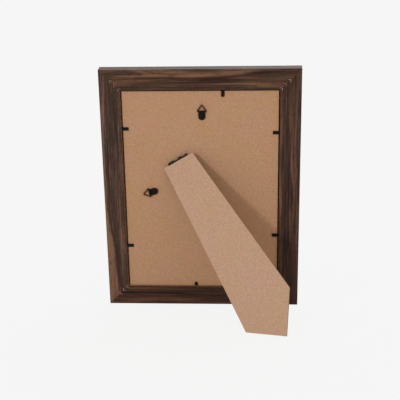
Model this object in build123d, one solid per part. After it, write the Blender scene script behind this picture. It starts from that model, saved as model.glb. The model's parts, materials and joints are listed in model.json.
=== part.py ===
from build123d import *
import os
from math import atan2, cos, pi, radians, sin, tan

# An easel back photo frame, in millimetres and degrees.
# It is drawn upright, seen from behind: +X to the right, +Z up and +Y towards the picture side.
# The back of the rails lies on y = 0 and the lower back edge on the X axis.
# The finished pieces are then leant back together until the strut's foot stands on the table.

# Picture and what is stacked with it behind the lip
PICTURE_WIDTH = 152.4
PICTURE_HEIGHT = 203.2
PICTURE_THICKNESS = 0.5
GLAZING_THICKNESS = 2.0
GLAZING_GAP = 1.2
BOARD_THICKNESS = 3.0
BOARD_SIDE_GAP = 1.4
BOARD_TOP_GAP = 1.2

# Moulding of the rails
RABBET_PLAY = 4.8
RAIL_BACK_WIDTH = 20.5
RAIL_DEPTH = 15.0
SIDE_FLARE = 0.6
LIP_WIDTH = 7.0
LIP_DEPTH = 7.0
BEVEL_WIDTH = 8.0
BEVEL_DROP = 2.5
EDGE_RADIUS = 0.5

# V-nails across the back of each mitre, measured from the outer edges
V_NAIL_COUNT = 3
V_NAIL_FIRST = 10.6
V_NAIL_PITCH = 4.0
V_NAIL_LEG = 2.8
V_NAIL_THICKNESS = 0.35
V_NAIL_DEPTH = 7.0
V_NAIL_SINK = 0.15

# Bendable points that hold the board in the rabbet
POINT_WIDTH = 3.4
POINT_THICKNESS = 0.6
POINT_REACH = 7.0
BOTTOM_POINT_REACH = 4.1
POINT_SHANK = 9.0
POINT_BEND = 0.8
POINT_TIP_RADIUS = 0.8
POINT_CLEARANCE = 0.2
BEND_CLEARANCE = 0.06

# Places of the points along the rabbet walls
LEFT_UPPER_DROP = 38.8
LEFT_LOWER_RISE = 45.0
RIGHT_UPPER_DROP = 43.1
RIGHT_LOWER_RISE = 56.9
TOP_POINT_X = 22.45
BOTTOM_POINT_X = -7.1

# Strut hinge
HINGE_X = -23.2
HINGE_HEIGHT = 158.3
HINGE_SLANT = 30.0
HINGE_LENGTH = 20.4
CENTRE_KNUCKLE = 7.5
KNUCKLE_GAP = 0.3
PIN_RADIUS = 0.9
PIN_CLEARANCE = 0.05
PIN_HEAD_RADIUS = 1.3
PIN_HEAD = 0.5
LEAF_THICKNESS = 0.8
LEAF_LENGTH = 22.0
LEAF_CLEARANCE = 0.45
BARREL_LIFT = 0.2
LUG_LENGTH = 0.8
LUG_START = 20.0
LUG_ARC = 60.0
LUG_CLEARANCE = 2.0

# Strut and the way the frame stands on it
OPEN_ANGLE = 29.5
LEAN = 8.6
STRUT_THICKNESS = 3.0
STRUT_TOP_WIDTH = 32.9
STRUT_LEFT_FLARE = 1.0
STRUT_RIGHT_FLARE = 9.3
STRUT_TOP_GAP = 0.6
STRUT_SIDE_SHIFT = 1.0
FOLD_CLEARANCE = 0.35

# Hangers: a folded strap that holds a triangle of wire
HANGER_TOP_X = 1.6
HANGER_TOP_DROP = 21.75
HANGER_SIDE_INSET = 26.2
HANGER_SIDE_HEIGHT = 123.45
HANGER_SIDE_TURN = 105.2
STRAP_WIDTH = 7.0
STRAP_REACH = 8.35
STRAP_SHOULDER = 1.7
STRAP_SHEET = 0.65
LOOP_WIDTH = 6.4
RING_WIRE_RADIUS = 0.6
RING_CLEARANCE = 0.08
RING_HALF_WIDTH = 5.0
RING_HEIGHT = 7.0
RING_CORNER_RADIUS = 0.8
RING_APEX_RADIUS = 0.6

# Rivets through the board, and tacks that stop inside the strut
RIVET_RADIUS = 1.0
RIVET_HOLE_CLEARANCE = 0.05
RIVET_HEAD_RADIUS = 1.8
RIVET_HEAD = 0.7
RIVET_TAIL_RADIUS = 1.7
RIVET_TAIL = 0.6
STRAP_RIVET_DROP = 4.8
LEAF_RIVET_SPREAD = 12.0
BOARD_RIVET_DROP = 8.0
STRUT_TACK_DROP = 16.0
TACK_BITE = 2.2

# Outline of the frame, and the levels of the stack counted forward from the back
RABBET_WIDTH = PICTURE_WIDTH + RABBET_PLAY
RABBET_HEIGHT = PICTURE_HEIGHT + RABBET_PLAY
FRAME_WIDTH = RABBET_WIDTH + 2 * RAIL_BACK_WIDTH
FRAME_HEIGHT = RABBET_HEIGHT + 2 * RAIL_BACK_WIDTH
RABBET_BOTTOM = RAIL_BACK_WIDTH
RABBET_TOP = FRAME_HEIGHT - RAIL_BACK_WIDTH
GLAZING_FRONT = RAIL_DEPTH - LIP_DEPTH
PICTURE_FRONT = GLAZING_FRONT - GLAZING_THICKNESS
BOARD_FRONT = PICTURE_FRONT - PICTURE_THICKNESS
BOARD_BACK = BOARD_FRONT - BOARD_THICKNESS

# Hinge levels: the pin above the board, and the strut's inner face beyond the pin
PIN_BORE_RADIUS = PIN_RADIUS + PIN_CLEARANCE
BARREL_RADIUS = PIN_BORE_RADIUS + LEAF_THICKNESS
PIN_RISE = BARREL_RADIUS + BARREL_LIFT
STRUT_FACE = BOARD_BACK - PIN_RISE + FOLD_CLEARANCE
STRUT_TOP = BARREL_RADIUS + STRUT_TOP_GAP
LEAF_TOP = BARREL_RADIUS + LEAF_CLEARANCE

# Directions from the back: out of the board, along the hinge pin and down the folded strut
OUTWARD = Vector(0, -1, 0)
ALONG_PIN = Vector(cos(radians(HINGE_SLANT)), 0, sin(radians(HINGE_SLANT)))
DOWN_STRUT = Vector(sin(radians(HINGE_SLANT)), 0, -cos(radians(HINGE_SLANT)))
STRUT_NORMAL = OUTWARD * cos(radians(OPEN_ANGLE)) - DOWN_STRUT * sin(radians(OPEN_ANGLE))

# The hinge seen folded, for what stays on the board, and open, for what moves with the strut
HINGE_POINT = Vector(HINGE_X, BOARD_BACK - PIN_RISE, HINGE_HEIGHT)
FOLDED = Plane(HINGE_POINT, x_dir=ALONG_PIN, z_dir=OUTWARD)
OPEN = Plane(HINGE_POINT, x_dir=ALONG_PIN, z_dir=STRUT_NORMAL)

# The table's surface under the upright and under the sideways frame, which stands on a rounded edge
LEAN_RISE = cos(radians(LEAN))
LEAN_TILT = sin(radians(LEAN))
EDGE_CENTRE = tan(pi / 4 - atan2(SIDE_FLARE, RAIL_DEPTH) / 2)
EDGE_RISE = EDGE_RADIUS * (LEAN_RISE * EDGE_CENTRE + LEAN_TILT - 1)
UPRIGHT_TABLE = Plane((0, 0, 0), z_dir=(0, LEAN_TILT, LEAN_RISE)).offset(EDGE_RISE)
SIDEWAYS_TABLE = Plane((FRAME_WIDTH / 2, 0, 0), z_dir=(-LEAN_RISE, LEAN_TILT, 0)).offset(EDGE_RISE)

# The hangers: x along the ring's bar, y towards the ring's apex, z out of the board
HANGER_TOP = Plane(
    (HANGER_TOP_X, BOARD_BACK, RABBET_TOP - HANGER_TOP_DROP),
    x_dir=(1, 0, 0),
    z_dir=OUTWARD,
)
HANGER_SIDE = Plane(
    (HANGER_SIDE_INSET - RABBET_WIDTH / 2, BOARD_BACK, HANGER_SIDE_HEIGHT),
    x_dir=(cos(radians(HANGER_SIDE_TURN)), 0, sin(radians(HANGER_SIDE_TURN))),
    z_dir=OUTWARD,
)
LOOP_BORE_RADIUS = RING_WIRE_RADIUS + RING_CLEARANCE
LOOP_RADIUS = LOOP_BORE_RADIUS + STRAP_SHEET
STRAP_THICKNESS = 2 * STRAP_SHEET
RIVET_HOLE_RADIUS = RIVET_RADIUS + RIVET_HOLE_CLEARANCE


def block(x_range, y_range, z_range):
    """A box between two corners."""
    size = [high - low for low, high in (x_range, y_range, z_range)]
    middle = [(low + high) / 2 for low, high in (x_range, y_range, z_range)]
    return Pos(*middle) * Box(*size)


def rod(radius, x_range):
    """A cylinder along the X axis."""
    low, high = x_range
    return Pos((low + high) / 2, 0, 0) * Rot(Y=90) * Cylinder(radius, high - low)


def post(radius, z_range):
    """A cylinder along the Z axis."""
    low, high = z_range
    return Pos(0, 0, (low + high) / 2) * Cylinder(radius, high - low)


# Rails

def rail(length):
    """Mitred moulding with its outer back edge along the X axis, flared a little towards the front."""
    front_width = RAIL_BACK_WIDTH + LIP_WIDTH
    outer_front = (RAIL_DEPTH, -SIDE_FLARE)
    sight_front = (RAIL_DEPTH - BEVEL_DROP, front_width)
    outer_back = (0, 0)
    rabbet_back = (0, RAIL_BACK_WIDTH)
    outline = Polyline(
        outer_back,
        outer_front,
        (RAIL_DEPTH, front_width - BEVEL_WIDTH),
        sight_front,
        (GLAZING_FRONT, front_width),
        (GLAZING_FRONT, RAIL_BACK_WIDTH),
        rabbet_back,
        close=True,
    )
    profile = make_face(outline)
    for corner in (outer_front, sight_front, outer_back, rabbet_back):
        profile = fillet(profile.vertices().sort_by_distance((*corner, 0))[0], EDGE_RADIUS)
    moulding = extrude(Plane.YZ * profile, amount=length / 2 + SIDE_FLARE, both=True)
    for side in (-1, 1):
        mitre = Plane((side * length / 2, 0, 0), z_dir=(side, 0, 1))
        moulding = split(moulding, bisect_by=mitre, keep=Keep.BOTTOM)
    return moulding


def placed_rails():
    """The four rails round the frame, still without slots."""
    half_width = FRAME_WIDTH / 2
    half_height = FRAME_HEIGHT / 2
    return {
        "rail_bottom": rail(FRAME_WIDTH),
        "rail_top": Pos(0, 0, FRAME_HEIGHT) * Rot(Y=180) * rail(FRAME_WIDTH),
        "rail_left": Pos(-half_width, 0, half_height) * Rot(Y=90) * rail(FRAME_HEIGHT),
        "rail_right": Pos(half_width, 0, half_height) * Rot(Y=-90) * rail(FRAME_HEIGHT),
    }


# V-nails

def v_nail(offset, y_range):
    """An angle of strip, its apex on the mitre of the lower left corner and a leg in each rail."""
    along = (offset, offset + V_NAIL_LEG)
    across = (offset, offset + V_NAIL_THICKNESS)
    return block(along, y_range, across) + block(across, y_range, along)


def v_nails(y_range):
    """All V-nails, or the slots that they lie in, at the four corners."""
    half_width = FRAME_WIDTH / 2
    corners = (
        Pos(-half_width, 0, 0),
        Pos(half_width, 0, 0) * Rot(Y=-90),
        Pos(half_width, 0, FRAME_HEIGHT) * Rot(Y=180),
        Pos(-half_width, 0, FRAME_HEIGHT) * Rot(Y=90),
    )
    offsets = [V_NAIL_FIRST + V_NAIL_PITCH * number for number in range(V_NAIL_COUNT)]
    return [corner * v_nail(offset, y_range) for corner in corners for offset in offsets]


# Points

def point_plane(wall, place):
    """Where a point leaves a rabbet wall: x away from the wall, z away from the board."""
    level = BOARD_BACK - POINT_CLEARANCE - POINT_THICKNESS / 2
    side = RABBET_WIDTH / 2
    origin, away = {
        "left": ((-side, level, place), (1, 0, 0)),
        "right": ((side, level, place), (-1, 0, 0)),
        "top": ((place, level, RABBET_TOP), (0, 0, -1)),
        "bottom": ((place, level, RABBET_BOTTOM), (0, 0, 1)),
    }[wall]
    return Plane(origin, x_dir=away, z_dir=OUTWARD)


POINTS = {
    "point_left_upper": (point_plane("left", RABBET_TOP - LEFT_UPPER_DROP), POINT_REACH),
    "point_left_lower": (point_plane("left", RABBET_BOTTOM + LEFT_LOWER_RISE), POINT_REACH),
    "point_right_upper": (point_plane("right", RABBET_TOP - RIGHT_UPPER_DROP), POINT_REACH),
    "point_right_lower": (point_plane("right", RABBET_BOTTOM + RIGHT_LOWER_RISE), POINT_REACH),
    "point_top": (point_plane("top", TOP_POINT_X), POINT_REACH),
    "point_bottom": (point_plane("bottom", BOTTOM_POINT_X), BOTTOM_POINT_REACH),
}


def point_shank():
    """The driven part of a point, ending just short of the bend."""
    half_width = POINT_WIDTH / 2
    half_thickness = POINT_THICKNESS / 2
    end = POINT_BEND - half_thickness - BEND_CLEARANCE
    return block((-POINT_SHANK, end), (-half_width, half_width), (-half_thickness, half_thickness))


def point_blade(reach):
    """The part of a point that lies on the board and bends up about the rounded root."""
    plan = Pos((POINT_BEND + reach) / 2, 0) * Rectangle(reach - POINT_BEND, POINT_WIDTH)
    plan = fillet(plan.vertices().group_by(Axis.X)[-1], POINT_TIP_RADIUS)
    blade = extrude(plan, amount=POINT_THICKNESS / 2, both=True)
    root = Pos(POINT_BEND, 0, 0) * Rot(X=90) * Cylinder(POINT_THICKNESS / 2, POINT_WIDTH)
    return blade + root


# Stack in the rabbet

def sheet(width, height, front, thickness):
    """A flat sheet that stands on the lower rabbet wall, in the middle of the frame."""
    return block(
        (-width / 2, width / 2),
        (front - thickness, front),
        (RABBET_BOTTOM, RABBET_BOTTOM + height),
    )


def glazing():
    width = RABBET_WIDTH - 2 * GLAZING_GAP
    height = RABBET_HEIGHT - GLAZING_GAP
    return sheet(width, height, GLAZING_FRONT, GLAZING_THICKNESS)


def photo_insert():
    return sheet(PICTURE_WIDTH, PICTURE_HEIGHT, PICTURE_FRONT, PICTURE_THICKNESS)


def backing_board():
    width = RABBET_WIDTH - 2 * BOARD_SIDE_GAP
    height = RABBET_HEIGHT - BOARD_TOP_GAP
    board = sheet(width, height, BOARD_FRONT, BOARD_THICKNESS)
    for place in strap_rivet_places() + board_rivet_places():
        board -= place * rivet_hole()
    return board


# Rivets and tacks

def rivet(head_level):
    """A rivet through the board: domed head above the board's back, flat tail in its front."""
    shank = post(RIVET_RADIUS, (-BOARD_THICKNESS, head_level))
    tail = post(RIVET_TAIL_RADIUS, (-BOARD_THICKNESS, RIVET_TAIL - BOARD_THICKNESS))
    return shank + tail + rivet_head(head_level)


def rivet_head(level):
    """A low dome that stands on the plane z = level."""
    rim = Line((0, level), (RIVET_HEAD_RADIUS, level))
    dome = TangentArc((0, level + RIVET_HEAD), (RIVET_HEAD_RADIUS, level), tangent=(1, 0))
    middle = Line((0, level + RIVET_HEAD), (0, level))
    section = make_face(rim + dome + middle)
    return revolve(Plane.XZ * section, axis=Axis.Z)


def rivet_hole():
    """The stepped hole for a rivet, right through the board."""
    bore = post(RIVET_HOLE_RADIUS, (-BOARD_THICKNESS, 0))
    seat_radius = RIVET_TAIL_RADIUS + RIVET_HOLE_CLEARANCE
    seat = post(seat_radius, (-BOARD_THICKNESS, RIVET_TAIL - BOARD_THICKNESS))
    return bore + seat


def leaf_spots(drop):
    """The two fastening spots of a leaf, at a distance below the pin."""
    return [Pos(side * LEAF_RIVET_SPREAD / 2, -drop, 0) for side in (-1, 1)]


def strap_rivet_places():
    return [hanger.location * Pos(0, -STRAP_RIVET_DROP, 0) for hanger in (HANGER_TOP, HANGER_SIDE)]


def board_rivet_places():
    board_side = FOLDED.location * Pos(0, 0, -PIN_RISE)
    return [board_side * spot for spot in leaf_spots(BOARD_RIVET_DROP)]


def strut_tack():
    """A short tack through the moving leaf, with its head towards the board."""
    leaf_back = STRUT_FACE - LEAF_THICKNESS
    shank = post(RIVET_RADIUS, (leaf_back, STRUT_FACE + TACK_BITE))
    return shank + Pos(0, 0, leaf_back) * Rot(X=180) * rivet_head(0)


# Hinge, drawn with the pin along the X axis and the leaves hanging towards -Y

def knuckle(x_range):
    return rod(BARREL_RADIUS, x_range) - rod(PIN_BORE_RADIUS, x_range)


def wedge(x_range, start, arc):
    """A sector round the pin, a little wider than the barrel, counted from +Y towards +Z."""
    low, high = x_range
    sector = Cylinder(LEAF_TOP, high - low, arc_size=arc, align=(Align.NONE, Align.NONE, Align.CENTER))
    return Pos((low + high) / 2, 0, 0) * Plane.YZ.location * Rot(Z=start) * sector


def leaf_plate(floor):
    """The flat of a leaf, from clear of the barrel down, with its lower face at z = floor."""
    half = HINGE_LENGTH / 2
    return block((-half, half), (-LEAF_LENGTH, -LEAF_TOP), (floor, floor + LEAF_THICKNESS))


OUTER_KNUCKLES = (
    (-HINGE_LENGTH / 2, -CENTRE_KNUCKLE / 2 - KNUCKLE_GAP),
    (CENTRE_KNUCKLE / 2 + KNUCKLE_GAP, HINGE_LENGTH / 2),
)
INNER_KNUCKLE = (-CENTRE_KNUCKLE / 2, CENTRE_KNUCKLE / 2)
LUG_END = CENTRE_KNUCKLE / 2 + KNUCKLE_GAP + LUG_LENGTH


def board_leaf():
    """The leaf on the board, with the two outer knuckles and the windows for the stop lugs."""
    floor = -PIN_RISE
    leaf = leaf_plate(floor)
    for span in OUTER_KNUCKLES:
        leaf += knuckle(span)
        leaf += block(span, (-LEAF_TOP, 0), (floor, floor + LEAF_THICKNESS)) - rod(PIN_BORE_RADIUS, span)
    window = LUG_END + KNUCKLE_GAP
    arc = LUG_ARC + OPEN_ANGLE + 2 * LUG_CLEARANCE
    leaf -= wedge((-window, window), LUG_START - LUG_CLEARANCE, arc)
    for spot in leaf_spots(BOARD_RIVET_DROP):
        leaf -= spot * post(RIVET_HOLE_RADIUS, (floor, floor + LEAF_THICKNESS))
    return leaf


def strut_leaf():
    """The leaf on the strut, with the middle knuckle and a stop lug at each end of it."""
    floor = STRUT_FACE - LEAF_THICKNESS
    leaf = knuckle((-LUG_END, LUG_END))
    for span in ((-LUG_END, -CENTRE_KNUCKLE / 2), (CENTRE_KNUCKLE / 2, LUG_END)):
        leaf -= wedge(span, LUG_START + OPEN_ANGLE + LUG_ARC, 360 - LUG_ARC)
    neck = block(INNER_KNUCKLE, (-LEAF_TOP, -PIN_BORE_RADIUS), (floor, floor + LEAF_THICKNESS))
    leaf += neck - rod(PIN_BORE_RADIUS, INNER_KNUCKLE)
    leaf += leaf_plate(floor)
    for spot in leaf_spots(STRUT_TACK_DROP):
        leaf -= spot * post(RIVET_HOLE_RADIUS, (floor, STRUT_FACE))
    return leaf


def hinge_pin():
    half = HINGE_LENGTH / 2
    pin = rod(PIN_RADIUS, (-half, half))
    for side in (-1, 1):
        pin += rod(PIN_HEAD_RADIUS, sorted((side * half, side * (half + PIN_HEAD))))
    return pin


# Strut

def slide_to(start, direction, plane):
    """The place where a line from start along direction meets a plane."""
    height = (start - plane.origin).dot(plane.z_dir)
    return start - direction * (height / direction.dot(plane.z_dir))


def strut_outline():
    """Corners of the strut's inner face, in the open hinge's plane.

    The foot stands on the table with the frame upright, the side cut with the frame sideways.
    """
    half = STRUT_TOP_WIDTH / 2
    face = OPEN.offset(STRUT_FACE)
    top_left = face.from_local_coords(Vector(STRUT_SIDE_SHIFT - half, -STRUT_TOP, 0))
    top_right = face.from_local_coords(Vector(STRUT_SIDE_SHIFT + half, -STRUT_TOP, 0))
    left_edge = (-face.y_dir).rotate(Axis((0, 0, 0), face.z_dir), STRUT_LEFT_FLARE)
    right_edge = (-face.y_dir).rotate(Axis((0, 0, 0), face.z_dir), STRUT_RIGHT_FLARE)
    heel = slide_to(top_left, left_edge, UPRIGHT_TABLE)
    elbow = slide_to(top_right, right_edge, SIDEWAYS_TABLE)
    tip = slide_to(heel, UPRIGHT_TABLE.z_dir.cross(face.z_dir), SIDEWAYS_TABLE)
    return [face.to_local_coords(corner) for corner in (top_left, top_right, elbow, tip, heel)]


def strut_board():
    outline = make_face(Polyline(*[(corner.X, corner.Y) for corner in strut_outline()], close=True))
    board = Pos(0, 0, STRUT_FACE) * extrude(outline, amount=STRUT_THICKNESS)
    for spot in leaf_spots(STRUT_TACK_DROP):
        board -= spot * post(RIVET_HOLE_RADIUS, (STRUT_FACE, STRUT_FACE + TACK_BITE))
    return board


# Hangers

def hanger_strap():
    """A folded strap with a round end, drawn in at the shoulder to the loop that holds the ring."""
    half = STRAP_WIDTH / 2
    round_end = Pos(0, half - STRAP_REACH) * Circle(half)
    flat = Pos(0, (half - STRAP_REACH - STRAP_SHOULDER) / 2) * Rectangle(
        STRAP_WIDTH, STRAP_REACH - half - STRAP_SHOULDER
    )
    neck = Pos(0, -STRAP_SHOULDER) * Rectangle(LOOP_WIDTH, 2 * STRAP_SHOULDER)
    strap = extrude(round_end + flat + neck, amount=STRAP_THICKNESS)
    span = (-LOOP_WIDTH / 2, LOOP_WIDTH / 2)
    bar = Pos(0, 0, LOOP_RADIUS)
    strap += bar * rod(LOOP_RADIUS, span)
    strap -= bar * rod(LOOP_BORE_RADIUS, span)
    strap -= Pos(0, -STRAP_RIVET_DROP, 0) * post(RIVET_HOLE_RADIUS, (0, STRAP_THICKNESS))
    return strap


def hanger_ring():
    """A triangle of wire with its bar in the strap's loop."""
    path = FilletPolyline(
        (0, 0),
        (RING_HALF_WIDTH, 0),
        (0, RING_HEIGHT),
        (-RING_HALF_WIDTH, 0),
        (0, 0),
        radius=(0, RING_CORNER_RADIUS, RING_APEX_RADIUS, RING_CORNER_RADIUS),
    )
    section = Plane((0, 0, 0), z_dir=(1, 0, 0)) * Circle(RING_WIRE_RADIUS)
    return Pos(0, 0, LOOP_RADIUS) * sweep(section, path)


# All pieces of the upright frame by name

def pieces():
    nails = v_nails((V_NAIL_SINK, V_NAIL_SINK + V_NAIL_DEPTH))
    shanks = [plane.location * point_shank() for plane, reach in POINTS.values()]
    slots = v_nails((0, V_NAIL_SINK + V_NAIL_DEPTH)) + shanks
    found = {name: moulding - slots for name, moulding in placed_rails().items()}
    found["corner_v_nails"] = Compound(nails)
    found["point_shanks"] = Compound(shanks)
    for name, (plane, reach) in POINTS.items():
        found[name] = plane.location * point_blade(reach)
    found["glazing"] = glazing()
    found["photo_insert"] = photo_insert()
    found["backing_board"] = backing_board()
    found["hinge_board_leaf"] = FOLDED.location * board_leaf()
    board_rivets = [place * rivet(LEAF_THICKNESS) for place in board_rivet_places()]
    found["hinge_board_rivets"] = Compound(board_rivets)
    found["hinge_pin"] = FOLDED.location * hinge_pin()
    found["hinge_strut_leaf"] = OPEN.location * strut_leaf()
    tacks = [OPEN.location * spot * strut_tack() for spot in leaf_spots(STRUT_TACK_DROP)]
    found["hinge_strut_tacks"] = Compound(tacks)
    found["strut_board"] = OPEN.location * strut_board()
    for name, hanger in (("top", HANGER_TOP), ("side", HANGER_SIDE)):
        found[f"hanger_{name}_strap"] = hanger.location * hanger_strap()
        found[f"hanger_{name}_ring"] = hanger.location * hanger_ring()
    strap_rivets = [place * rivet(STRAP_THICKNESS) for place in strap_rivet_places()]
    found["hanger_rivets"] = Compound(strap_rivets)
    return found


# Lean everything back onto the strut, with the origin under the middle of the whole

leant = {name: Rot(X=LEAN) * piece for name, piece in pieces().items()}
extent = Compound(list(leant.values())).bounding_box()
standing = Pos(-extent.center().X, -extent.center().Y, -extent.min.Z)

os.makedirs("parts", exist_ok=True)
for name, piece in leant.items():
    export_step(standing * piece, f"parts/{name}.step")
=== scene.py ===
import json
from math import radians

import bpy
from mathutils import Matrix, Vector


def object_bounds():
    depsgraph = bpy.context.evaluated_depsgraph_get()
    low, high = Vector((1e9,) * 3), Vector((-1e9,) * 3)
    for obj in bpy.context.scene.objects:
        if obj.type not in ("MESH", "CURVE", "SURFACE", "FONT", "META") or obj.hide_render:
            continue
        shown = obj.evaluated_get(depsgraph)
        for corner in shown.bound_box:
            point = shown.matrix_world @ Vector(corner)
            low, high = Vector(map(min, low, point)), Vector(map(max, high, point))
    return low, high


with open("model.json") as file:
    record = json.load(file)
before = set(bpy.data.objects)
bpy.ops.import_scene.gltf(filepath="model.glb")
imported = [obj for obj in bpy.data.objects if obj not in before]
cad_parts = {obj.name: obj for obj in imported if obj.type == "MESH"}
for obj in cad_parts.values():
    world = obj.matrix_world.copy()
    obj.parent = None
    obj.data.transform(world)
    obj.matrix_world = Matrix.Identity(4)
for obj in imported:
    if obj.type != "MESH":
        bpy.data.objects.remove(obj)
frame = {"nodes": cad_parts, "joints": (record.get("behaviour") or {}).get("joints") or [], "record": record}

# An easel back photo frame seen from behind, standing on its strut.
# Places are in metres in the row frame; sizes of textures and eased edges are in millimetres.

CAD_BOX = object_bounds()
CENTRE = (CAD_BOX[0] + CAD_BOX[1]) / 2
MILLIMETRES_PER_METRE = 1000.0

# Directions taken from the frame: out of its back, across it and up it, then up from the hinge's pin
# along the board, and out of the open strut's face
BACK_NORMAL = next(Vector(m["axis"]) for m in frame["record"]["mounts"] if m["name"] == "wall_face")
RIGHT = Vector((1.0, 0.0, 0.0))
UP = BACK_NORMAL.cross(RIGHT)
FOLD = next(joint for joint in frame["joints"] if joint["name"] == "strut_fold")
HINGE_UP = BACK_NORMAL.cross(Vector(FOLD["axis"]))
STRUT_NORMAL = Matrix.Rotation(radians(-FOLD["range_deg"][1]), 3, FOLD["axis"]) @ BACK_NORMAL

# Camera, from the photograph's vanishing lines
CAMERA_PLACE = (0.0465, -0.8076, 0.2564)
CAMERA_HEADING = 3.29
CAMERA_DIP = 9.62
CAMERA_ROLL = -0.48
CAMERA_LENS = 75.16
SENSOR_WIDTH = 36.0

# Studio
BACKGROUND = (246, 246, 246)
FLOOR_RADIUS = 3.0
FLOOR_SIDES = 96
FLOOR_PAPER = (252, 252, 252)
SHADOW_RADIUS = 0.7
SHADOW_SHARE = 0.05
AMBIENT = 0.64
AMBIENT_TINT = (1.04, 0.98, 0.85, 1.0)
LAMPS = {
    "key_light": {
        "direction": (-0.47, -0.855, 0.21),
        "distance": 3.2,
        "size": 0.35,
        "power": 29.0,
        "tint": (0.96, 1.0, 1.09),
    },
    "back_light": {
        "direction": (0.1, 0.6, 0.75),
        "distance": 2.2,
        "size": 1.2,
        "power": 12.0,
        "tint": (0.9, 1.0, 1.15),
    },
}

# Groups of CAD nodes that share a finish or an eased edge
SHANKS = "point_shanks"
POINTS = [name for name in frame["nodes"] if name.startswith("point_")]
BLADES = [name for name in POINTS if name != SHANKS]
HINGE = ["hinge_board_leaf", "hinge_board_rivets", "hinge_pin", "hinge_strut_leaf", "hinge_strut_tacks"]
STRAPS = ["hanger_top_strap", "hanger_side_strap"]
RINGS = ["hanger_top_ring", "hanger_side_ring"]

# Edges of the meshes
WELD_DISTANCE = 1e-6
EASE_ANGLE = 35
BOARD_EASE = 0.2
METAL_EASE = 0.12
SHEET_DRAW = 0.05


def linear(red, green, blue):
    """A screen colour of 0 to 255 as linear RGBA."""
    levels = [level / 255 for level in (red, green, blue)]
    return [c / 12.92 if c <= 0.04045 else ((c + 0.055) / 1.055) ** 2.4 for c in levels] + [1.0]


def even(value):
    """The same value in three directions."""
    return (value, value, value)


# Places of the sockets of a Mix node that mixes colours
MIX_SHARE = 0
MIX_FIRST = 6
MIX_SECOND = 7
MIX_RESULT = 2


class Nodes:
    """A node tree with short calls for the nodes used in this scene."""

    def __init__(self, tree):
        self.tree = tree

    def add(self, kind, inputs, **settings):
        node = self.tree.nodes.new(kind)
        for name, value in settings.items():
            setattr(node, name, value)
        for name, value in inputs.items():
            self.feed(node.inputs[name], value)
        return node

    def feed(self, socket, value):
        """Links another node's output to a socket, or sets the socket's own value."""
        if isinstance(value, bpy.types.NodeSocket):
            self.tree.links.new(value, socket)
        else:
            socket.default_value = value

    def math(self, operation, first, second=0.0):
        return self.add("ShaderNodeMath", {0: first, 1: second}, operation=operation).outputs[0]

    def vector(self, operation, first, second):
        return self.add("ShaderNodeVectorMath", {0: first, 1: second}, operation=operation).outputs[0]

    def dot(self, first, second):
        inputs = {0: first, 1: second}
        return self.add("ShaderNodeVectorMath", inputs, operation="DOT_PRODUCT").outputs["Value"]

    def join(self, first, second, third):
        return self.add("ShaderNodeCombineXYZ", {0: first, 1: second, 2: third}).outputs[0]

    def part(self, vector):
        """The three parts of a vector, by name."""
        return self.add("ShaderNodeSeparateXYZ", {0: vector}).outputs

    def noise(self, place, size, seed=0.0, detail=2.0, roughness=0.5):
        """Values about 0.5, with features of a size along the three directions of place."""
        inputs = {
            "Vector": self.vector("DIVIDE", place, size),
            "W": seed,
            "Scale": 1.0,
            "Detail": detail,
            "Roughness": roughness,
        }
        return self.add("ShaderNodeTexNoise", inputs, noise_dimensions="4D").outputs["Fac"]

    def rise(self, value, start, end, low=0.0, high=1.0):
        """Goes evenly from low to high while value goes from start to end."""
        inputs = {"Value": value, "From Min": start, "From Max": end, "To Min": low, "To Max": high}
        return self.add("ShaderNodeMapRange", inputs).outputs["Result"]

    def ramp(self, value, *stops):
        """Colours at places from 0 to 1, each stop a place and a screen colour."""
        node = self.add("ShaderNodeValToRGB", {"Fac": value})
        elements = node.color_ramp.elements
        while len(elements) < len(stops):
            elements.new(1.0)
        for element, (place, colour) in zip(elements, stops):
            element.position = place
            element.color = linear(*colour)
        return node.outputs["Color"]

    def mix(self, share, first, second, blend="MIX"):
        inputs = {MIX_SHARE: share, MIX_FIRST: first, MIX_SECOND: second}
        return self.add("ShaderNodeMix", inputs, data_type="RGBA", blend_type=blend).outputs[MIX_RESULT]


class Look(Nodes):
    """A material: one Principled shader and the textures that feed it."""

    def __init__(self, name, **sockets):
        self.material = bpy.data.materials.new(name)
        self.material.use_nodes = True
        super().__init__(self.material.node_tree)
        self.shader = self.tree.nodes["Principled BSDF"]
        self.coordinates = self.add("ShaderNodeTexCoord", {})
        self.set(**sockets)

    def set(self, **sockets):
        for name, value in sockets.items():
            self.feed(self.shader.inputs[name.replace("_", " ")], value)

    def place(self):
        """Millimetres in the row frame."""
        return self.vector("MULTIPLY", self.coordinates.outputs["Object"], even(MILLIMETRES_PER_METRE))

    def facing(self, direction):
        """How far the surface faces a direction, from -1 to 1."""
        return self.dot(self.coordinates.outputs["Normal"], direction)

    def bump(self, height, depth, strength=1.0):
        """Relief of a depth in millimetres."""
        inputs = {"Height": height, "Distance": depth / MILLIMETRES_PER_METRE, "Strength": strength}
        self.set(Normal=self.add("ShaderNodeBump", inputs).outputs["Normal"])


# Where most values of a noise lie
NOISE_LOW = 0.3
NOISE_HIGH = 0.7


def tinted(look, colour, place, size, seed, first, second):
    """A colour that drifts between two tints over patches of a size."""
    tint = look.ramp(look.noise(place, size, seed), (0.35, first), (0.65, second))
    return look.mix(1.0, colour, tint, "MULTIPLY")


# Walnut print on the rails

class Rail:
    """How a rail lies, the dark, middle and light tones of its print, and the bands of that print."""

    def __init__(self, along, inward, seed, tones, bands):
        self.along = along
        self.inward = inward
        self.seed = seed
        self.tones = tones
        self.bands = bands


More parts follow.
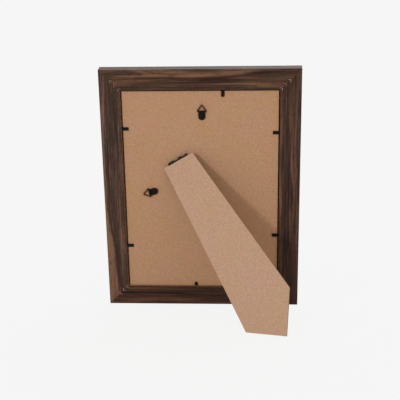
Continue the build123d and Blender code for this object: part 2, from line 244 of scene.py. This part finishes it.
# A band runs from one place to another, each given along and across the rail in millimetres, across
# counted from the outer edge; then come its half width and how much lighter it is
RAILS = {
    "rail_top": Rail(RIGHT, -UP, 1.3, ((45, 26, 17), (74, 51, 39), (120, 86, 67)), (
        ((0, 2), (60, 2), 2.5, 0.05),
        ((34, 1), (54, 6), 2.4, 0.13),
        ((50, 3), (92, 2), 2.5, 0.08),
        ((40, 8.5), (84, 10), 1.2, -0.04),
        ((82, 7), (150, 2.5), 3.5, 0.2),
        ((104, 11), (164, 3.5), 1.5, -0.08),
        ((0, 8), (100, 8), 3.0, 0.05),
        ((152, 4), (198, 4), 4.0, -0.06),
        ((96, 12), (180, 12), 4.0, -0.04),
        ((66, 16.5), (92, 16), 1.8, 0.07),
        ((104, 15), (148, 14.5), 1.4, 0.05),
        ((0, 20), (198, 20), 2.5, -0.05),
    )),
    "rail_bottom": Rail(RIGHT, UP, 4.1, ((30, 14, 8), (63, 40, 29), (102, 70, 54)), (
        ((12, 13.6), (78, 13.4), 1.8, -0.17),
        ((76, 13), (130, 11), 5.0, -0.09),
        ((14, 18.5), (84, 18.5), 2.2, 0.12),
        ((10, 4.5), (50, 5), 3.4, 0.12),
        ((64, 7), (96, 6), 3.0, 0.07),
    )),
    "rail_left": Rail(UP, RIGHT, 7.7, ((51, 36, 29), (69, 52, 44), (126, 93, 74)), (
        ((4, 4), (72, 6), 6.0, 0.19),
        ((58, 5), (104, 1.5), 4.0, 0.2),
        ((50, 11.5), (110, 2.5), 1.4, -0.1),
        ((112, 2.2), (216, 2.8), 2.4, 0.14),
        ((120, 6.4), (220, 6.6), 1.6, -0.12),
        ((24, 12), (112, 12), 2.4, -0.05),
        ((4, 19.5), (110, 19.5), 2.0, -0.07),
        ((176, 12), (244, 12), 6.0, -0.05),
    )),
    "rail_right": Rail(UP, -RIGHT, 2.9, ((33, 17, 12), (64, 45, 37), (112, 81, 66)), (
        ((242, 6), (196, 4.5), 1.6, 0.05),
        ((190, 6), (100, 3.5), 1.8, 0.08),
        ((168, 9.5), (128, 7), 1.6, 0.05),
        ((226, 14.5), (170, 14), 3.0, -0.05),
        ((220, 20), (100, 20), 1.6, 0.13),
        ((110, 3), (8, 3), 4.0, 0.05),
        ((78, 13), (8, 12.5), 5.5, -0.12),
    )),
}
BAND_FADE = 9.0

# Sizes of the print's features along the rail, across it and through it
DRIFT_SIZE = (90.0, 35.0, 35.0)
DRIFT_REACH = 1.5
ZONE_SIZE = (90.0, 5.5, 5.5)
STREAK_SIZE = (44.0, 1.5, 1.5)
STREAK_SHARE = 0.55
TONE_STOPS = (0.38, 0.5, 0.66)
PORE_SIZE = (5.0, 0.7, 0.7)
PORE_COLOUR = (22, 11, 7)
PORE_SHARE = 0.5
PORE_DEPTH = 0.6

# Tints over the print: the size of their patches and the two colours that they drift between
PRINT_TINTS = (
    ((28.0, 4.0, 4.0), (242, 255, 252), (255, 239, 248)),
    ((36.0, 5.0, 5.0), (255, 250, 255), (255, 255, 238)),
)

# The rabbet's wall lies nearer to the outer edge than this, and faces squarely inwards
RABBET_WALL = 22.5
WALL_FACING = 0.9
WALL_COLOUR = (150, 114, 88)


def lowest(node, direction):
    """The least reach of a CAD node along a direction, in millimetres."""
    vertices = frame["nodes"][node].data.vertices
    return MILLIMETRES_PER_METRE * min(direction.dot(vertex.co) for vertex in vertices)


def band(look, place, start, end, half_width):
    """1 along the middle of a band of the print, falling to 0 at its edges and ends."""
    parts = look.part(place)
    middle = look.rise(parts["X"], start[0], end[0], start[1], end[1])
    off_middle = look.math("ABSOLUTE", look.math("SUBTRACT", parts["Y"], middle))
    low, high = sorted((start[0], end[0]))
    entry = look.rise(parts["X"], low - BAND_FADE, low + BAND_FADE)
    leave = look.rise(parts["X"], high + BAND_FADE, high - BAND_FADE)
    inside = look.rise(off_middle, half_width, 0.0)
    return look.math("MULTIPLY", inside, look.math("MULTIPLY", entry, leave))


def walnut(name, rail):
    """Printed dark walnut: long wandering streaks and bands along the rail, and short pores.

    The walls of the rabbet are bare fibreboard.
    """
    look = Look(f"{name}_walnut", Specular_IOR_Level=0.12)
    position = look.place()
    place = look.join(
        look.math("SUBTRACT", look.dot(position, rail.along), lowest(name, rail.along)),
        look.math("SUBTRACT", look.dot(position, rail.inward), lowest(name, rail.inward)),
        look.dot(position, BACK_NORMAL),
    )
    drift = look.rise(look.noise(place, DRIFT_SIZE, rail.seed), 0.0, 1.0, -DRIFT_REACH, DRIFT_REACH)
    wandering = look.vector("ADD", place, look.join(0.0, drift, drift))
    zones = look.noise(wandering, ZONE_SIZE, rail.seed, roughness=0.55)
    streaks = look.noise(wandering, STREAK_SIZE, rail.seed, detail=4.0, roughness=0.65)
    figure = look.math(
        "ADD",
        look.math("MULTIPLY", streaks, STREAK_SHARE),
        look.math("MULTIPLY", zones, 1.0 - STREAK_SHARE),
    )
    for start, end, half_width, tone in rail.bands:
        share = look.math("MULTIPLY", band(look, wandering, start, end, half_width), tone)
        figure = look.math("ADD", figure, share)
    colour = look.ramp(figure, *zip(TONE_STOPS, rail.tones))
    for number, (size, first, second) in enumerate(PRINT_TINTS, start=1):
        colour = tinted(look, colour, wandering, size, rail.seed + number, first, second)
    pores = look.rise(look.noise(wandering, PORE_SIZE, rail.seed, detail=1.0), 0.55, 0.68)
    colour = look.mix(look.math("MULTIPLY", pores, PORE_SHARE), colour, linear(*PORE_COLOUR))
    near = look.math("LESS_THAN", look.part(place)["Y"], RABBET_WALL)
    wall = look.math("GREATER_THAN", look.math("MULTIPLY", look.facing(rail.inward), near), WALL_FACING)
    colour = look.mix(wall, colour, linear(*WALL_COLOUR))
    roughness = look.rise(streaks, NOISE_LOW, NOISE_HIGH, low=0.4, high=0.56)
    look.set(Base_Color=colour, Roughness=roughness)
    relief = look.math("SUBTRACT", streaks, look.math("MULTIPLY", pores, PORE_DEPTH))
    look.bump(relief, depth=0.05, strength=0.4)
    return look.material


# Fibreboard of the backing board and the strut

CLOUD_SIZE = even(22.0)
PATCH_SIZE = even(14.0)
PATCH_TINTS = ((252, 255, 254), (255, 251, 253))
FIBRE_SIZE = even(1.3)
FLECK_SIZE = even(3.5)
FLECK_SHARE = 0.6
CUT_FACING = 0.7
CUT_SHARE = 0.7


def fibreboard(name, face_normal, seed, rosy, straw, edge):
    """Bare fibreboard: soft clouds, fine pressed fibres and a few dark flecks; cut edges are darker."""
    look = Look(name, Roughness=0.82, Specular_IOR_Level=0.2)
    place = look.place()
    clouds = look.noise(place, CLOUD_SIZE, seed, detail=3.0, roughness=0.55)
    colour = look.ramp(clouds, (NOISE_LOW, straw), (NOISE_HIGH, rosy))
    colour = tinted(look, colour, place, PATCH_SIZE, seed + 1.0, *PATCH_TINTS)
    fibres = look.noise(place, FIBRE_SIZE, seed, detail=3.0, roughness=0.65)
    tone = look.rise(fibres, 0.25, 0.75, low=0.75, high=1.23)
    colour = look.mix(1.0, colour, look.join(tone, tone, tone), "MULTIPLY")
    flecks = look.rise(look.noise(place, FLECK_SIZE, seed + 0.5, roughness=0.7), 0.7, 0.76)
    colour = look.mix(look.math("MULTIPLY", flecks, FLECK_SHARE), colour, linear(*edge))
    cut = look.math("LESS_THAN", look.math("ABSOLUTE", look.facing(face_normal)), CUT_FACING)
    colour = look.mix(look.math("MULTIPLY", cut, CUT_SHARE), colour, linear(*edge))
    look.set(Base_Color=colour)
    look.bump(fibres, depth=0.08, strength=0.6)
    return look.material


# Metals

STEEL_GRAIN = even(0.6)
# Grey spots of painted highlight on the hinge's upper side: their size, seed and colour
HIGHLIGHT_SPOT_SIZE = even(5.0)
HIGHLIGHT_SPOT_SEED = 2.0
PAINTED_HIGHLIGHT_COLOUR = (124, 116, 108)
TARNISH_SIZE = even(1.2)


def black_steel(name, dark, light, highlight_side=None):
    """Black finish on pressed sheet, with grey spots of painted highlight on the side that is given."""
    look = Look(name, Specular_IOR_Level=0.08)
    place = look.place()
    grain = look.noise(place, STEEL_GRAIN, detail=3.0, roughness=0.6)
    colour = look.ramp(grain, (0.35, dark), (0.7, light))
    if highlight_side:
        # Painted highlight: grey spots that grow lighter as the surface faces the given side
        highlight_spots = look.rise(look.noise(place, HIGHLIGHT_SPOT_SIZE, HIGHLIGHT_SPOT_SEED), 0.48, 0.58)
        painted_highlight = look.math("MULTIPLY", highlight_spots, look.rise(look.facing(highlight_side), 0.35, 0.7))
        colour = look.mix(painted_highlight, colour, linear(*PAINTED_HIGHLIGHT_COLOUR))
    look.set(Base_Color=colour, Roughness=look.rise(grain, NOISE_LOW, NOISE_HIGH, low=0.3, high=0.45))
    look.bump(grain, depth=0.03, strength=0.4)
    return look.material


def bronze_wire():
    """Dark antique bronze, lighter where the finish is rubbed."""
    look = Look("bronze_wire_finish", Metallic=1.0)
    rub = look.noise(look.place(), TARNISH_SIZE, detail=3.0, roughness=0.6)
    look.set(Base_Color=look.ramp(rub, (0.35, (60, 28, 9)), (0.7, (106, 60, 22))))
    look.set(Roughness=look.rise(rub, NOISE_LOW, NOISE_HIGH, low=0.3, high=0.45))
    look.bump(rub, depth=0.02, strength=0.4)
    return look.material


def dull_steel():
    """Sheared strip, tarnished grey."""
    look = Look("dull_steel_finish", Metallic=1.0)
    tarnish = look.noise(look.place(), TARNISH_SIZE, detail=3.0, roughness=0.6)
    look.set(Base_Color=look.ramp(tarnish, (0.38, (84, 76, 70)), (0.6, (200, 188, 176))))
    look.set(Roughness=look.rise(tarnish, NOISE_LOW, NOISE_HIGH, low=0.38, high=0.55))
    look.bump(tarnish, depth=0.03, strength=0.5)
    return look.material


# Glass and paper

HAZE_SIZE = (50.0, 50.0, 16.0)
TOOTH_SIZE = even(0.4)


def picture_glass():
    """Clear sheet glass with the faintest haze of wiping."""
    look = Look("picture_glass", Transmission_Weight=1.0, IOR=1.5, Base_Color=linear(250, 253, 251))
    haze = look.noise(look.place(), HAZE_SIZE, detail=3.0, roughness=0.6)
    look.set(Roughness=look.rise(haze, 0.4, 0.8, low=0.0, high=0.05))
    return look.material


def insert_paper():
    """Plain insert card with a fine tooth."""
    look = Look("insert_paper", Roughness=0.75, Specular_IOR_Level=0.3)
    tooth = look.noise(look.place(), TOOTH_SIZE, detail=3.0, roughness=0.6)
    look.set(Base_Color=look.ramp(tooth, (NOISE_LOW, (236, 234, 228)), (NOISE_HIGH, (247, 246, 242))))
    look.bump(tooth, depth=0.03, strength=0.4)
    return look.material


# Dressing of the CAD nodes

def dress(material, *nodes):
    """Gives CAD nodes a material in place of their plain one."""
    for name in nodes:
        slots = frame["nodes"][name].data.materials
        slots.clear()
        slots.append(material)


def weld(name):
    """Joins the corners of a CAD node's faces."""
    frame["nodes"][name].modifiers.new("weld", "WELD").merge_threshold = WELD_DISTANCE


def draw_in(depth, *nodes):
    """Draws the faces of CAD nodes in by a depth in millimetres, clear of those that they lie on."""
    for name in nodes:
        weld(name)
        shrink = frame["nodes"][name].modifiers.new("draw_in", "DISPLACE")
        shrink.mid_level = 0.0
        shrink.strength = -depth / MILLIMETRES_PER_METRE


def ease_edges(width, *nodes):
    """Breaks the sharp edges of CAD nodes by a width in millimetres."""
    for name in nodes:
        weld(name)
        bevel = frame["nodes"][name].modifiers.new("ease", "BEVEL")
        bevel.width = width / MILLIMETRES_PER_METRE
        bevel.segments = 2
        bevel.limit_method = "ANGLE"
        bevel.angle_limit = radians(EASE_ANGLE)
        bevel.harden_normals = True


for name, rail in RAILS.items():
    dress(walnut(name, rail), name)
board_look = fibreboard(
    "board_fibre", BACK_NORMAL, seed=5.0, rosy=(181, 139, 113), straw=(178, 140, 104), edge=(122, 88, 62)
)
dress(board_look, "backing_board")
# The strut's colours are paler than the board's: partly a tone of its own, partly a painted sheen for the
# gloss its tilted face catches
strut_look = fibreboard(
    "strut_fibre_painted_sheen", STRUT_NORMAL, seed=31.0, rosy=(189, 152, 132), straw=(186, 152, 123), edge=(128, 96, 70)
)
dress(strut_look, "strut_board")
black_look = black_steel("black_steel_finish", dark=(18, 12, 8), light=(29, 21, 16))
dress(black_look, *POINTS, *STRAPS, "hanger_rivets")
# The hinge's upper side gets a painted highlight of grey spots
hinge_look = black_steel("hinge_steel_painted_highlight", dark=(9, 4, 2), light=(17, 10, 7), highlight_side=HINGE_UP)
dress(hinge_look, *HINGE)
dress(bronze_wire(), *RINGS)
dress(dull_steel(), "corner_v_nails")
dress(picture_glass(), "glazing")
dress(insert_paper(), "photo_insert")
draw_in(SHEET_DRAW, "glazing", "photo_insert")
ease_edges(BOARD_EASE, "backing_board", "strut_board")
ease_edges(METAL_EASE, *STRAPS, *BLADES)


# Studio: a pale floor that fades into the background, soft light all round, a lamp on the left of the
# back and a second one above the picture side

def seen_directly(nodes):
    """1 for rays from the camera, and for those seen in gloss or through glass."""
    path = nodes.add("ShaderNodeLightPath", {})
    seen = nodes.math("MAXIMUM", path.outputs["Is Camera Ray"], path.outputs["Is Glossy Ray"])
    return nodes.math("MAXIMUM", seen, path.outputs["Is Transmission Ray"])


def backdrop():
    """A world that lights the object all round, and shows the background where it is seen."""
    world = bpy.data.worlds.new("studio")
    bpy.context.scene.world = world
    world.use_nodes = True
    nodes = Nodes(world.node_tree)
    output = nodes.tree.nodes["World Output"]
    fill = nodes.tree.nodes["Background"]
    fill.inputs["Color"].default_value = AMBIENT_TINT
    fill.inputs["Strength"].default_value = AMBIENT
    pale = nodes.add("ShaderNodeBackground", {"Color": linear(*BACKGROUND), "Strength": 1.0})
    shaders = {0: seen_directly(nodes), 1: fill.outputs[0], 2: pale.outputs[0]}
    both = nodes.add("ShaderNodeMixShader", shaders)
    nodes.feed(output.inputs["Surface"], both.outputs[0])


def floor():
    """A disc in the background's colour that takes a faint shadow round the object."""
    bpy.ops.mesh.primitive_circle_add(vertices=FLOOR_SIDES, radius=FLOOR_RADIUS, fill_type="NGON")
    disc = bpy.context.object
    disc.name = "floor"
    material = bpy.data.materials.new("floor_paper")
    material.use_nodes = True
    nodes = Nodes(material.node_tree)
    output = nodes.tree.nodes["Material Output"]
    nodes.tree.nodes.remove(nodes.tree.nodes["Principled BSDF"])
    place = nodes.add("ShaderNodeTexCoord", {}).outputs["Object"]
    distance = nodes.add("ShaderNodeVectorMath", {0: place}, operation="LENGTH").outputs["Value"]
    near = nodes.rise(distance, SHADOW_RADIUS, 0.0)
    glow_share = nodes.math("SUBTRACT", 1.0, nodes.math("MULTIPLY", near, SHADOW_SHARE))
    paper = nodes.add("ShaderNodeBsdfDiffuse", {"Color": linear(*FLOOR_PAPER)})
    glow = nodes.add("ShaderNodeEmission", {"Color": linear(*BACKGROUND), "Strength": 1.0})
    share = nodes.math("MULTIPLY", glow_share, seen_directly(nodes))
    both = nodes.add("ShaderNodeMixShader", {0: share, 1: paper.outputs[0], 2: glow.outputs[0]})
    nodes.feed(output.inputs["Surface"], both.outputs[0])
    disc.data.materials.append(material)


def softbox(name, direction, distance, size, power, tint):
    """A square lamp that looks at the middle of the object from a direction."""
    lamp = bpy.data.lights.new(name, "AREA")
    lamp.size = size
    lamp.energy = power
    lamp.color = tint
    box = bpy.data.objects.new(name, lamp)
    towards = Vector(direction).normalized()
    box.location = CENTRE + distance * towards
    box.rotation_euler = towards.to_track_quat("Z", "Y").to_euler()
    bpy.context.scene.collection.objects.link(box)


def camera():
    """The photograph's view."""
    lens = bpy.data.cameras.new("camera")
    lens.lens = CAMERA_LENS
    lens.sensor_width = SENSOR_WIDTH
    view = bpy.data.objects.new("camera", lens)
    turn = Matrix.Rotation(radians(CAMERA_HEADING), 4, "Z")
    tilt = Matrix.Rotation(radians(90 - CAMERA_DIP), 4, "X")
    roll = Matrix.Rotation(radians(CAMERA_ROLL), 4, "Z")
    view.matrix_world = Matrix.Translation(CAMERA_PLACE) @ turn @ tilt @ roll
    bpy.context.scene.collection.objects.link(view)
    bpy.context.scene.camera = view


backdrop()
floor()
for name, settings in LAMPS.items():
    softbox(name, **settings)
camera()
bpy.context.scene.view_settings.view_transform = "Standard"
